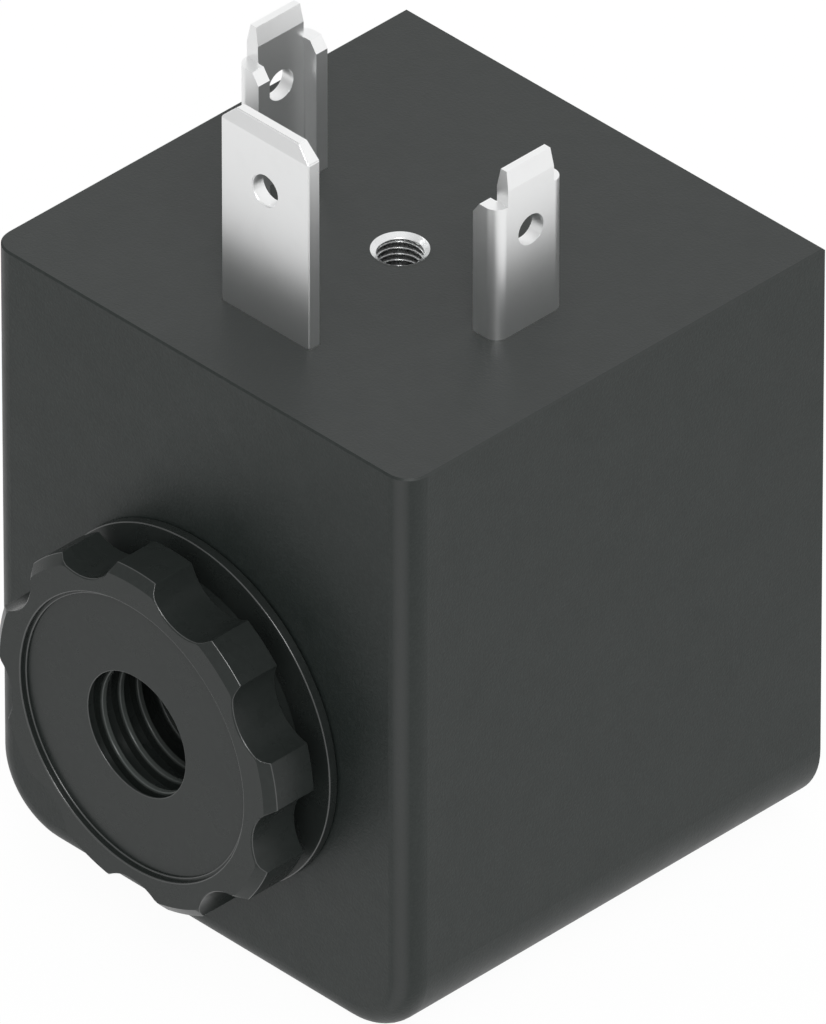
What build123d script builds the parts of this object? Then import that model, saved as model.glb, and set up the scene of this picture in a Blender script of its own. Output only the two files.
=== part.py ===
from build123d import *
import os

# Solenoid valve coil with a three-contact plug, in millimetres.
# The origin is on the axis of the armature bore, in the face that meets the valve.
# +Y points at the valve, +Z along the plug contacts, and the nut is on the -Y face.

# Moulded block
body_width = 30.2
body_depth = 29.7
base_cover = 2.45
top_cover = 3.0
lower_edge_radius = 4.4
nut_face_radius = 1.4
top_edge_break = 0.1
rear_wall = 2.0
front_wall = 1.8
mould_gap = 0.03
contact_gap = 0.01

# Armature tube, thread and running fit
bore_radius = 5.05
running_clearance = 0.08

# Plug contacts
contact_spacing = 18.0
earth_reach = 9.15
sheet = 0.8
tongue_width = 3.25
tongue_height = 10.03
tongue_tip_height = 1.07
tongue_tip_thickness = 0.42
tongue_tip_width = 3.09
roll_width = 4.9
roll_depth = 1.68
roll_radius = 0.85
roll_inner_radius = 0.1
roll_height = 8.0
roll_tip_width = 0.45
roll_tip_drop = 0.65
contact_hole_radius = 0.89
power_hole_height = 5.86
lug_length = 1.5
earth_width = 6.3
earth_height = 12.1
earth_bevel_depth = 0.22
earth_corner_width = 0.92
earth_corner_height = 0.84
earth_hole_height = 8.23
earth_tail_width = 5.0

# Plug screw insert
insert_radius = 2.3
insert_neck_radius = 1.58
insert_neck_height = 0.5
screw_hole_radius = 1.5
screw_hole_floor = 1.0
screw_mouth_radius = 1.54
screw_mouth_depth = 0.3
insert_groove_width = 1.0
insert_groove_depth = 0.3

# Magnetic frame
steel = 1.8
yoke_width = 20.0
yoke_half_height = 10.6
spool_yoke_gap = 0.4
yoke_bend_radius = 0.3
plate_tab_width = 8.0
ear_width = 8.0
ear_height = 4.6
bush_radius = 6.0
bush_length = 6.0

# Spool, winding and tape
spool_tube_radius = 6.9
flange_thickness = 1.0
flange_corner_radius = 1.0
tape_thickness = 0.3
turn_gap = 0.05

# Terminal carrier
carrier_width = 22.4
carrier_length = 8.4
carrier_floor = 2.55
carrier_rise = 0.1
bridge_width = 8.4
bridge_height = 2.55

# Leads
lead_radius = 0.18
lead_turn_height = 7.0
sleeve_wall = 0.2
sleeve_foot_height = 2.7
sleeve_length = 3.6
chamber_side_room = 0.4

# Earth rivet
rivet_radius = 0.9
rivet_head_radius = 1.6
rivet_head_height = 0.5

# Rear seal ring and its groove
seal_radius = 7.6
seal_width = 1.6
seal_height = 1.3
seal_side_gap = 0.05
seal_sink = 0.05

# Nut
nut_height = 4.7
nut_face_gap = 0.1
nut_radius = 10.15
rim_thickness = 0.55
neck_radius = 8.0
ring_back_height = 1.65
ring_bevel_width = 0.55
ring_bevel_height = 0.45
dish_radius = 8.11
dish_depth = 0.25
dish_ledge_width = 0.2
dish_step_depth = 0.13
nut_mouth_radius = 3.54
nut_mouth_depth = 0.8
nut_thread_radius = 4.05
scallop_count = 9
scallop_radius = 2.77
scallop_floor_radius = 8.89
spigot_radius = 6.3

# Nut's retaining ring and seal
retainer_thickness = 0.6
retainer_depth = 0.6
retainer_width = 1.6
retainer_opening = 2.6
retainer_end_gap = 0.1
retainer_side_gap = 0.05
retainer_land = 0.35
retainer_room = 0.3
spigot_end_gap = 0.1
nut_seal_radius = 7.1
nut_seal_width = 1.2
nut_seal_height = 1.0

# Places along the bore, worked out from the two faces of the block
bracket_back_y = -rear_wall
bracket_front_y = bracket_back_y - steel
nut_back_y = -body_depth - nut_face_gap
retainer_y = -body_depth + front_wall + retainer_end_gap
spigot_end_y = retainer_y + retainer_thickness + retainer_side_gap + retainer_land
plate_front_y = spigot_end_y + spigot_end_gap
plate_back_y = plate_front_y + steel
earth_y = plate_back_y + sheet / 2
pattern_y = earth_y + earth_reach

# Heights, worked out from the bore's axis
strap_top_z = -yoke_half_height
strap_base_z = strap_top_z - steel
base_z = strap_base_z - base_cover
flange_half_width = yoke_half_height - spool_yoke_gap
carrier_base_z = flange_half_width + carrier_rise
bridge_base_z = yoke_half_height + ear_height + carrier_rise
carrier_top_z = bridge_base_z + bridge_height
top_z = carrier_top_z + top_cover
insert_base_z = carrier_base_z + carrier_floor
insert_neck_z = top_z - insert_neck_height
lug_base_z = carrier_base_z - lug_length
rivet_z = yoke_half_height + ear_height / 2

# Radii and widths that follow from what they lie in or hold
tape_radius = yoke_half_height - spool_yoke_gap
winding_radius = tape_radius - tape_thickness
sleeve_radius = lead_radius + mould_gap + sleeve_wall
lead_x = tape_radius + mould_gap + lead_radius
chamber_half_width = lead_x + sleeve_radius + chamber_side_room
contact_face_x = contact_spacing / 2 + sheet / 2
retainer_inner_radius = spigot_radius - retainer_depth
retainer_outer_radius = retainer_inner_radius + retainer_width
retainer_pocket_radius = retainer_outer_radius + retainer_room
seal_groove_inner = seal_radius - seal_width / 2 - seal_side_gap
seal_groove_outer = seal_radius + seal_width / 2 + seal_side_gap
seal_groove_depth = seal_height + seal_sink + mould_gap


def across(y):
    """Plane square to the bore at depth y, drawn in X and Z, with its normal along -Y."""
    return Plane.XZ.offset(-y)


def level(z):
    """Plane square to Z at height z."""
    return Plane.XY.offset(z)


def rolled_outline(side, gap=0.0):
    """Section of a power contact: a flat web with both edges rolled in, towards the middle of the plug."""
    with BuildSketch() as outline:
        with Locations((contact_face_x - roll_depth / 2, pattern_y)):
            Rectangle(roll_depth, roll_width)
        with Locations((contact_face_x - sheet, pattern_y)):
            trough_side = (Align.MAX, Align.CENTER)
            Rectangle(roll_depth, roll_width - 2 * sheet, align=trough_side, mode=Mode.SUBTRACT)
        fillet(outline.vertices().group_by(Axis.X)[-2], roll_inner_radius)
        fillet(outline.vertices().group_by(Axis.X)[-1], roll_radius)
        if gap:
            offset(amount=gap, kind=Kind.INTERSECTION)
        if side < 0:
            mirror(about=Plane.YZ, mode=Mode.REPLACE)
    return outline.sketch


def carrier_outline(gap=0.0):
    """Plan of the terminal carrier's block between the power contacts."""
    with BuildSketch() as outline:
        with Locations((0, pattern_y)):
            Rectangle(carrier_width + 2 * gap, carrier_length + 2 * gap)
    return outline.sketch


def bridge_outline(gap=0.0):
    """Plan of the carrier's bridge, from the block forward to the earth contact."""
    front_y = earth_y + sheet / 2 + mould_gap - gap
    with BuildSketch() as outline:
        with Locations((0, pattern_y)):
            Rectangle(bridge_width + 2 * gap, pattern_y - front_y, align=(Align.CENTER, Align.MAX))
    return outline.sketch


def make_housing():
    """The moulded block, with the chamber for the magnet, the carrier's pocket, the bores and the slots."""
    with BuildPart() as housing:
        with BuildSketch(across(0)) as front_view:
            with Locations((0, (top_z + base_z) / 2)):
                Rectangle(body_width, top_z - base_z)
            fillet(front_view.vertices().group_by(Axis.Y)[0], lower_edge_radius)
        extrude(amount=body_depth)
        nut_face_edges = housing.faces().sort_by(Axis.Y)[0].edges()
        fillet(nut_face_edges.sort_by(Axis.Z)[:-1], nut_face_radius)
        chamfer(housing.faces().sort_by(Axis.Z)[-1].edges(), top_edge_break)

        # Chamber for the magnetic frame and the spool
        with BuildSketch(across(bracket_back_y + mould_gap)):
            with Locations((0, (yoke_half_height + strap_base_z) / 2)):
                Rectangle(2 * chamber_half_width, yoke_half_height - strap_base_z + 2 * mould_gap)
        extrude(amount=bracket_back_y - plate_front_y + 2 * mould_gap, mode=Mode.SUBTRACT)

        # Room for the carrier, its bridge and the plate's ear with the rivet through it
        with BuildSketch(level(carrier_top_z + mould_gap)):
            add(carrier_outline(mould_gap))
            add(bridge_outline(mould_gap))
        pocket_floor_z = min(carrier_base_z, yoke_half_height) - mould_gap
        extrude(amount=pocket_floor_z - carrier_top_z - mould_gap, mode=Mode.SUBTRACT)
        with BuildSketch(across(earth_y + sheet / 2)):
            with Locations((0, yoke_half_height)):
                Rectangle(ear_width + 2 * mould_gap, ear_height + mould_gap, align=(Align.CENTER, Align.MIN))
        extrude(amount=sheet + steel + mould_gap, mode=Mode.SUBTRACT)
        with BuildSketch(across(earth_y + sheet / 2 + rivet_head_height + mould_gap)):
            with Locations((0, rivet_z)):
                Circle(rivet_head_radius + mould_gap)
        extrude(amount=sheet + steel + 2 * (rivet_head_height + mould_gap), mode=Mode.SUBTRACT)

        # Slots for the contacts and the seat for the insert, tapered round its neck
        with BuildSketch(level(yoke_half_height)):
            with Locations((0, earth_y)):
                Rectangle(earth_width + 2 * contact_gap, sheet + 2 * contact_gap)
        extrude(until=Until.LAST, mode=Mode.SUBTRACT)
        with BuildSketch(level(carrier_top_z)):
            for side in (-1, 1):
                add(rolled_outline(side, contact_gap))
        extrude(until=Until.LAST, mode=Mode.SUBTRACT)
        with BuildSketch(level(carrier_top_z)):
            with Locations((0, pattern_y)):
                Circle(insert_radius + mould_gap)
        extrude(amount=insert_neck_z - carrier_top_z, mode=Mode.SUBTRACT)
        with Locations((0, pattern_y, insert_neck_z)):
            Cone(
                insert_radius + mould_gap,
                insert_neck_radius + mould_gap,
                insert_neck_height,
                align=(Align.CENTER, Align.CENTER, Align.MIN),
                mode=Mode.SUBTRACT,
            )

        # Bore and seal groove in the valve face
        with BuildSketch(across(0)):
            Circle(bore_radius)
        extrude(amount=rear_wall, mode=Mode.SUBTRACT)
        with BuildSketch(across(0)):
            Circle(seal_groove_outer)
            Circle(seal_groove_inner, mode=Mode.SUBTRACT)
        extrude(amount=seal_groove_depth, mode=Mode.SUBTRACT)

        # Hole for the nut's spigot and the pocket where its retaining ring turns
        with BuildSketch(across(plate_front_y)):
            Circle(retainer_pocket_radius)
        extrude(amount=body_depth - front_wall + plate_front_y, mode=Mode.SUBTRACT)
        with BuildSketch(across(plate_front_y)):
            Circle(spigot_radius + running_clearance)
        extrude(amount=body_depth + plate_front_y, mode=Mode.SUBTRACT)
    return housing


def make_power_contact(side):
    """One of the two facing contacts: a tongue with two rolled edges and a lug for the lead."""
    tip_z = top_z + tongue_height
    shoulder_z = top_z + roll_height
    inner_face_x = contact_face_x - sheet
    tip_edge_x = contact_face_x - roll_depth
    with BuildPart() as contact:
        # The flat strip and its tapered tip
        with BuildSketch(level(lug_base_z)):
            with Locations((contact_spacing / 2, pattern_y)):
                Rectangle(sheet, tongue_width)
        extrude(amount=tip_z - tongue_tip_height - lug_base_z)
        with BuildSketch(level(tip_z - tongue_tip_height)):
            with Locations((contact_spacing / 2, pattern_y)):
                Rectangle(sheet, tongue_width)
        with BuildSketch(level(tip_z)):
            with Locations((contact_spacing / 2, pattern_y)):
                Rectangle(tongue_tip_thickness, tongue_tip_width)
        loft()

        # The rolled edges and their sloping tips
        with BuildSketch(level(carrier_top_z)):
            add(rolled_outline(1))
        extrude(amount=shoulder_z - carrier_top_z)
        with BuildSketch(Plane.XZ.offset(-pattern_y)):
            with BuildLine():
                Polyline(
                    (tip_edge_x, shoulder_z),
                    (tip_edge_x, shoulder_z - roll_tip_drop),
                    (tip_edge_x + roll_tip_width, shoulder_z),
                    close=True,
                )
            make_face()
        extrude(amount=roll_width, both=True, mode=Mode.SUBTRACT)

        with BuildSketch(Plane.YZ.offset(inner_face_x)):
            with Locations((pattern_y, top_z + power_hole_height)):
                Circle(contact_hole_radius)
        extrude(amount=sheet, mode=Mode.SUBTRACT)
        if side < 0:
            mirror(about=Plane.YZ, mode=Mode.REPLACE)
    return contact


def make_earth_contact():
    """The flat earth contact, bevelled at the top, with a tail that lies on the yoke plate's ear."""
    tip_z = top_z + earth_height
    front_y = earth_y - sheet / 2
    with BuildPart() as contact:
        with BuildSketch(across(earth_y + sheet / 2)):
            with BuildLine():
                Polyline(
                    (-earth_tail_width / 2, yoke_half_height + mould_gap),
                    (earth_tail_width / 2, yoke_half_height + mould_gap),
                    (earth_tail_width / 2, carrier_top_z),
                    (earth_width / 2, carrier_top_z),
                    (earth_width / 2, tip_z - earth_corner_height),
                    (earth_width / 2 - earth_corner_width, tip_z),
                    (earth_corner_width - earth_width / 2, tip_z),
                    (-earth_width / 2, tip_z - earth_corner_height),
                    (-earth_width / 2, carrier_top_z),
                    (-earth_tail_width / 2, carrier_top_z),
                    close=True,
                )
            make_face()
            with Locations((0, top_z + earth_hole_height)):
                Circle(contact_hole_radius, mode=Mode.SUBTRACT)
            with Locations((0, rivet_z)):
                Circle(rivet_radius + mould_gap, mode=Mode.SUBTRACT)
        extrude(amount=sheet)
        with BuildSketch(Plane.YZ):
            with BuildLine():
                Polyline(
                    (front_y, tip_z),
                    (front_y, tip_z - earth_corner_height),
                    (front_y + earth_bevel_depth, tip_z),
                    close=True,
                )
            make_face()
        extrude(amount=earth_width, both=True, mode=Mode.SUBTRACT)
    return contact


def make_insert():
    """Threaded insert for the plug's screw: a tapered neck, a grooved barrel and a blind hole."""
    with BuildPart() as insert:
        with BuildSketch(Plane.XZ.offset(-pattern_y)) as profile:
            with BuildLine():
                Polyline(
                    (0, insert_base_z),
                    (insert_radius, insert_base_z),
                    (insert_radius, insert_neck_z),
                    (insert_neck_radius, top_z),
                    (screw_mouth_radius, top_z),
                    (screw_hole_radius, top_z - screw_mouth_depth),
                    (screw_hole_radius, insert_base_z + screw_hole_floor),
                    (0, insert_base_z + screw_hole_floor),
                    close=True,
                )
            make_face()
            with Locations((insert_radius, (top_z + insert_base_z) / 2)):
                Rectangle(2 * insert_groove_depth, insert_groove_width, mode=Mode.SUBTRACT)
        revolve(axis=Axis((0, pattern_y, 0), (0, 0, 1)))
    return insert


def make_carrier():
    """Terminal carrier: a block across the two power contacts, with a bridge to the earth contact."""
    with BuildPart() as carrier:
        with BuildSketch(level(carrier_base_z)):
            add(carrier_outline())
        extrude(amount=carrier_top_z - carrier_base_z)
        with BuildSketch(level(carrier_top_z)):
            add(bridge_outline())
        extrude(amount=-bridge_height)
        with BuildSketch(level(carrier_base_z)):
            for side in (-1, 1):
                with Locations((side * contact_spacing / 2, pattern_y)):
                    Rectangle(sheet + 2 * mould_gap, tongue_width + 2 * mould_gap)
        extrude(amount=carrier_top_z - carrier_base_z, mode=Mode.SUBTRACT)
        with BuildSketch(level(carrier_top_z)):
            with Locations((0, pattern_y)):
                Circle(insert_radius + mould_gap)
        extrude(amount=insert_base_z - carrier_top_z - mould_gap, mode=Mode.SUBTRACT)
    return carrier


def make_yoke_bracket():
    """Steel strap bent up behind the spool, with a tab that locks into the front plate."""
    with BuildPart() as bracket:
        with BuildSketch(Plane.YZ) as side_view:
            with BuildLine():
                Polyline(
                    (plate_back_y, strap_base_z),
                    (bracket_back_y, strap_base_z),
                    (bracket_back_y, yoke_half_height),
                    (bracket_front_y, yoke_half_height),
                    (bracket_front_y, strap_top_z),
                    (plate_back_y, strap_top_z),
                    close=True,
                )
            make_face()
            inner_corner = side_view.vertices().sort_by_distance((bracket_front_y, strap_top_z))[0]
            outer_corner = side_view.vertices().sort_by_distance((bracket_back_y, strap_base_z))[0]
            fillet(inner_corner, yoke_bend_radius)
            fillet(outer_corner, yoke_bend_radius + steel)
        extrude(amount=yoke_width / 2, both=True)
        with BuildSketch(across(plate_back_y)):
            with Locations((0, (strap_top_z + strap_base_z) / 2)):
                Rectangle(plate_tab_width, steel)
        extrude(amount=steel)
        with BuildSketch(across(bracket_back_y)):
            Circle(bush_radius + mould_gap)
        extrude(amount=steel, mode=Mode.SUBTRACT)
    return bracket


def make_yoke_plate():
    """Flat front plate of the magnetic frame, notched for the strap's tab and eared for the earth contact."""
    with BuildPart() as plate:
        with BuildSketch(across(plate_back_y - mould_gap)):
            with Locations((0, (yoke_half_height + strap_base_z) / 2)):
                Rectangle(yoke_width, yoke_half_height - strap_base_z)
            with Locations((0, yoke_half_height)):
                Rectangle(ear_width, ear_height, align=(Align.CENTER, Align.MIN))
            with Locations((0, strap_base_z)):
                notch = (plate_tab_width + 2 * mould_gap, steel + mould_gap)
                Rectangle(*notch, align=(Align.CENTER, Align.MIN), mode=Mode.SUBTRACT)
            Circle(bush_radius + mould_gap, mode=Mode.SUBTRACT)
            with Locations((0, rivet_z)):
                Circle(rivet_radius + mould_gap, mode=Mode.SUBTRACT)
        extrude(amount=steel - mould_gap)
    return plate


def make_earth_rivet():
    """Rivet through the earth contact's tail and the plate's ear, with a low round head on each side."""
    tail_y = earth_y + sheet / 2
    with BuildPart() as rivet:
        with BuildSketch(across(tail_y)):
            with Locations((0, rivet_z)):
                Circle(rivet_radius)
        extrude(amount=sheet + steel)
        for face_y, away in ((tail_y, -1), (plate_front_y, 1)):
            with BuildSketch(across(face_y)):
                with Locations((0, rivet_z)):
                    Circle(rivet_head_radius)
            extrude(amount=away * rivet_head_height)
    return rivet


def make_bush(start_y):
    """Steel bush that leads the flux from a plate into the armature tube, drawn forward from start_y."""
    with BuildPart() as bush:
        with BuildSketch(across(start_y)):
            Circle(bush_radius)
            Circle(bore_radius, mode=Mode.SUBTRACT)
        extrude(amount=bush_length)
    return bush


def make_bobbin():
    """Spool: a tube between two square flanges, opened out at both ends to seat the bushes."""
    seat_depth = bush_length - steel + mould_gap
    back_y = bracket_front_y - mould_gap
    front_y = plate_back_y + mould_gap
    with BuildPart() as bobbin:
        with BuildSketch(across(back_y)):
            Circle(spool_tube_radius)
        extrude(amount=back_y - front_y)
        for flange_y in (back_y, front_y + flange_thickness):
            with BuildSketch(across(flange_y)):
                RectangleRounded(2 * flange_half_width, 2 * flange_half_width, flange_corner_radius)
            extrude(amount=flange_thickness)
        with BuildSketch(across(back_y)):
            Circle(bore_radius)
        extrude(amount=back_y - front_y, mode=Mode.SUBTRACT)
        for seat_y, inward in ((back_y, 1), (front_y, -1)):
            with BuildSketch(across(seat_y)):
                Circle(bush_radius + mould_gap)
            extrude(amount=inward * seat_depth, mode=Mode.SUBTRACT)
    return bobbin


def make_sleeve(inner_radius, outer_radius):
    """Round sleeve on the spool, from flange to flange."""
    back_y = bracket_front_y - mould_gap - flange_thickness - turn_gap
    front_y = plate_back_y + mould_gap + flange_thickness + turn_gap
    with BuildPart() as sleeve:
        with BuildSketch(across(back_y)):
            Circle(outer_radius)
            Circle(inner_radius, mode=Mode.SUBTRACT)
        extrude(amount=back_y - front_y)
    return sleeve


def make_lead(side):
    """One end of the wire: off the side of the winding, straight up and in to lie on the contact's lug."""
    lug_x = contact_face_x + mould_gap + lead_radius
    with BuildPart() as lead:
        with BuildLine() as route:
            Polyline(
                (side * lead_x, pattern_y, 0),
                (side * lead_x, pattern_y, lead_turn_height),
                (side * lug_x, pattern_y, lug_base_z),
                (side * lug_x, pattern_y, carrier_base_z - mould_gap),
            )
        with BuildSketch(level(0)):
            with Locations((side * lead_x, pattern_y)):
                Circle(lead_radius)
        sweep(path=route.line, transition=Transition.RIGHT)
    return lead


def make_lead_sleeve(side):
    """Insulating sleeve on the straight stretch of a lead."""
    with BuildPart() as sleeve:
        with BuildSketch(level(sleeve_foot_height)):
            with Locations((side * lead_x, pattern_y)):
                Circle(sleeve_radius)
                Circle(lead_radius + mould_gap, mode=Mode.SUBTRACT)
        extrude(amount=sleeve_length)
    return sleeve


def make_rear_seal():
    """Flat rubber ring in the valve face, drawn at its clamped height."""
    with BuildPart() as seal:
        with BuildSketch(across(-seal_sink)):
            Circle(seal_radius + seal_width / 2)
            Circle(seal_radius - seal_width / 2, mode=Mode.SUBTRACT)
        extrude(amount=seal_height)
    return seal


def make_nut():
    """Scalloped nut: thin rim, neck, scalloped ring with a dished front, threaded hole and spigot."""
    front_y = nut_back_y - nut_height
    dish_y = front_y + dish_depth
    disc_y = dish_y + dish_step_depth
    ring_back_y = nut_back_y - ring_back_height
    scallop_centre = scallop_floor_radius + scallop_radius
    with BuildPart() as nut:
        with BuildSketch(Plane.XY):
            with BuildLine():
                Polyline(
                    (nut_thread_radius, spigot_end_y),
                    (spigot_radius, spigot_end_y),
                    (spigot_radius, nut_back_y),
                    (nut_radius, nut_back_y),
                    (nut_radius, nut_back_y - rim_thickness),
                    (neck_radius, nut_back_y - rim_thickness),
                    (neck_radius, ring_back_y),
                    (nut_radius, ring_back_y),
                    (nut_radius, front_y + ring_bevel_height),
                    (nut_radius - ring_bevel_width, front_y),
                    (dish_radius, front_y),
                    (dish_radius, dish_y),
                    (dish_radius - dish_ledge_width, dish_y),
                    (dish_radius - dish_ledge_width, disc_y),
                    (nut_mouth_radius, disc_y),
                    (nut_mouth_radius, disc_y + nut_mouth_depth),
                    (nut_thread_radius, disc_y + nut_mouth_depth),
                    close=True,
                )
            make_face()
            # Groove for the retaining ring and seat for the seal
            with Locations((spigot_radius, retainer_y + retainer_thickness / 2)):
                Rectangle(2 * retainer_depth, retainer_thickness + 2 * retainer_side_gap, mode=Mode.SUBTRACT)
            with Locations((nut_seal_radius, nut_back_y)):
                Rectangle(nut_seal_width, 2 * nut_seal_height, mode=Mode.SUBTRACT)
        revolve(axis=Axis.Y)
        with BuildSketch(across(ring_back_y)):
            with PolarLocations(scallop_centre, scallop_count, start_angle=-90):
                Circle(scallop_radius)
        extrude(amount=nut_height - ring_back_height, mode=Mode.SUBTRACT)
    return nut


def make_retainer():
    """Split spring ring on the nut's spigot, behind the block's front wall."""
    with BuildPart() as ring:
        with BuildSketch(across(retainer_y + retainer_thickness)):
            Circle(retainer_outer_radius)
            Circle(retainer_inner_radius + mould_gap, mode=Mode.SUBTRACT)
            upward = (Align.CENTER, Align.MIN)
            Rectangle(retainer_opening, retainer_outer_radius, align=upward, mode=Mode.SUBTRACT)
        extrude(amount=retainer_thickness)
    return ring


def make_nut_seal():
    """Flat rubber ring in the nut's back, level with it."""
    half_width = nut_seal_width / 2 - mould_gap
    with BuildPart() as seal:
        with BuildSketch(across(nut_back_y - mould_gap)):
            Circle(nut_seal_radius + half_width)
            Circle(nut_seal_radius - half_width, mode=Mode.SUBTRACT)
        extrude(amount=nut_seal_height - 2 * mould_gap)
    return seal


def write(piece, name):
    """Label a finished piece and write it to its own file."""
    piece.part.label = name
    export_step(piece.part, f"parts/{name}.step")


os.makedirs("parts", exist_ok=True)

write(make_housing(), "housing")
write(make_yoke_bracket(), "yoke_bracket")
write(make_yoke_plate(), "yoke_plate")
write(make_bush(bracket_back_y), "flux_bush_rear")
write(make_bush(plate_front_y + bush_length), "flux_bush_front")
write(make_bobbin(), "bobbin")
write(make_sleeve(spool_tube_radius + turn_gap, winding_radius), "winding")
write(make_sleeve(winding_radius + mould_gap, tape_radius), "winding_tape")
write(make_carrier(), "terminal_carrier")
write(make_power_contact(-1), "contact_left")
write(make_power_contact(1), "contact_right")
write(make_earth_contact(), "contact_earth")
write(make_earth_rivet(), "earth_rivet")
write(make_insert(), "plug_screw_insert")
write(make_lead(1), "lead_start")
write(make_lead(-1), "lead_finish")
write(make_lead_sleeve(1), "lead_sleeve_start")
write(make_lead_sleeve(-1), "lead_sleeve_finish")
write(make_rear_seal(), "rear_seal")
write(make_nut(), "knurled_nut")
write(make_retainer(), "nut_retaining_ring")
write(make_nut_seal(), "nut_seal")
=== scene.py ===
import math

import bmesh
import bpy
from mathutils import Matrix, Vector


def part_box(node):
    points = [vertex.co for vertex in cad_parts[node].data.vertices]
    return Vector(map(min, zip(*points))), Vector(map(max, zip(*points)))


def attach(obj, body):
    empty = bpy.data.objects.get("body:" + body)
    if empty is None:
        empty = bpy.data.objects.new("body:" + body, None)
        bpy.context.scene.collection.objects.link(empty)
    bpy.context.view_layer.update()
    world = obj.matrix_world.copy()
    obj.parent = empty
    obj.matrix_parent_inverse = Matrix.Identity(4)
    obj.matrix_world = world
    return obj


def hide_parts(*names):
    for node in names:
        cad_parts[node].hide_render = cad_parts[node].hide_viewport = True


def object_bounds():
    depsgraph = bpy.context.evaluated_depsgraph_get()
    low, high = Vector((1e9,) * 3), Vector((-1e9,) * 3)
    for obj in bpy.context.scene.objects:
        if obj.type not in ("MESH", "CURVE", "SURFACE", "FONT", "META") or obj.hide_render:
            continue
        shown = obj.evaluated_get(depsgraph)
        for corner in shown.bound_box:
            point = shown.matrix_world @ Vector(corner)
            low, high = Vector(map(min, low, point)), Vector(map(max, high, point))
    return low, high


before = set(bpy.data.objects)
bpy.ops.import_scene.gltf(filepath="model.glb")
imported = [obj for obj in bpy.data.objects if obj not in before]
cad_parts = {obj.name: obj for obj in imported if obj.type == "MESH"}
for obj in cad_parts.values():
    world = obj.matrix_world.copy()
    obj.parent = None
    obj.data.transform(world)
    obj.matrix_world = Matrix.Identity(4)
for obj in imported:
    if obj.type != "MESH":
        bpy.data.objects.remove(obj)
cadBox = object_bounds()
mm = 0.001
print("coil frame loaded")


def newObject(name, data):
    made = bpy.data.objects.new(name, data)
    bpy.context.collection.objects.link(made)
    return made


# Camera

cameraSetup = {
    "azimuth": 45.391,  # degrees round from the nut face towards +X
    "elevation": 35.380,
    "aim": (-6.203 * mm, -8.309 * mm, -2.163 * mm),
    "distance": 1647.7 * mm,
    "lens": 1128.9,
    "sensor": 36,  # millimetres, along the picture's tall side
    "clip": (0.05, 20),  # metres from the lens
}


def placeCamera():
    turn = math.radians(cameraSetup["azimuth"])
    rise = math.radians(cameraSetup["elevation"])
    right = Vector((math.cos(turn), math.sin(turn), 0))
    back = Vector((math.sin(turn) * math.cos(rise), -math.cos(turn) * math.cos(rise), math.sin(rise)))
    up = back.cross(right)
    lens = bpy.data.cameras.new("photo_lens")
    lens.sensor_fit = "VERTICAL"
    lens.sensor_height = cameraSetup["sensor"]
    lens.lens = cameraSetup["lens"]
    lens.clip_start, lens.clip_end = cameraSetup["clip"]
    camera = newObject("photo_camera", lens)
    place = Vector(cameraSetup["aim"]) + back * cameraSetup["distance"]
    camera.matrix_world = Matrix.Translation(place) @ Matrix((right, up, back)).transposed().to_4x4()
    bpy.context.scene.camera = camera


placeCamera()
print("camera placed")


# Node helpers for the finishes

def newFinish(name):
    finish = bpy.data.materials.new(name)
    finish.use_nodes = True
    tree = finish.node_tree
    shader = tree.nodes["Principled BSDF"]
    return finish, tree, shader


def addNode(tree, kind, **settings):
    node = tree.nodes.new(kind)
    for key, value in settings.items():
        setattr(node, key, value)
    return node


def feed(tree, socket, value):
    if isinstance(value, bpy.types.NodeSocket):
        tree.links.new(value, socket)
    else:
        socket.default_value = value


def sums(tree, operation, first, second, clamp=False):
    node = addNode(tree, "ShaderNodeMath", operation=operation, use_clamp=clamp)
    feed(tree, node.inputs[0], first)
    feed(tree, node.inputs[1], second)
    return node.outputs[0]


def blend(tree, share, first, second):
    mix = addNode(tree, "ShaderNodeMix")
    feed(tree, mix.inputs["Factor"], share)
    feed(tree, mix.inputs["A"], first)
    feed(tree, mix.inputs["B"], second)
    return mix.outputs["Result"]


def objectPlace(tree, stretch=(1, 1, 1), shift=(0, 0, 0)):
    place = addNode(tree, "ShaderNodeTexCoord")
    mapping = addNode(tree, "ShaderNodeMapping")
    mapping.inputs["Scale"].default_value = stretch
    mapping.inputs["Location"].default_value = shift
    tree.links.new(place.outputs["Object"], mapping.inputs["Vector"])
    return mapping.outputs["Vector"]


def noise(tree, place, size, detail=2.0, roughness=0.5):
    texture = addNode(tree, "ShaderNodeTexNoise")
    texture.inputs["Scale"].default_value = 1 / size
    texture.inputs["Detail"].default_value = detail
    texture.inputs["Roughness"].default_value = roughness
    tree.links.new(place, texture.inputs["Vector"])
    return texture.outputs["Fac"]


def spread(tree, value, low, high, fromLow=0.3, fromHigh=0.7):
    ranger = addNode(tree, "ShaderNodeMapRange")
    ranger.inputs["From Min"].default_value = fromLow
    ranger.inputs["From Max"].default_value = fromHigh
    ranger.inputs["To Min"].default_value = low
    ranger.inputs["To Max"].default_value = high
    tree.links.new(value, ranger.inputs["Value"])
    return ranger.outputs["Result"]


def tint(tree, value, first, second):
    # the first colour may come from a node, and the second is always plain
    mix = addNode(tree, "ShaderNodeMix", data_type="RGBA")
    feed(tree, mix.inputs["A"], first if isinstance(first, bpy.types.NodeSocket) else (*first, 1))
    feed(tree, mix.inputs["B"], (*second, 1))
    feed(tree, mix.inputs["Factor"], value)
    return mix.outputs["Result"]


def facing(tree, direction, side):
    dot = addNode(tree, "ShaderNodeVectorMath", operation="DOT_PRODUCT")
    tree.links.new(direction, dot.inputs[0])
    dot.inputs[1].default_value = side
    return dot.outputs["Value"]


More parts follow.
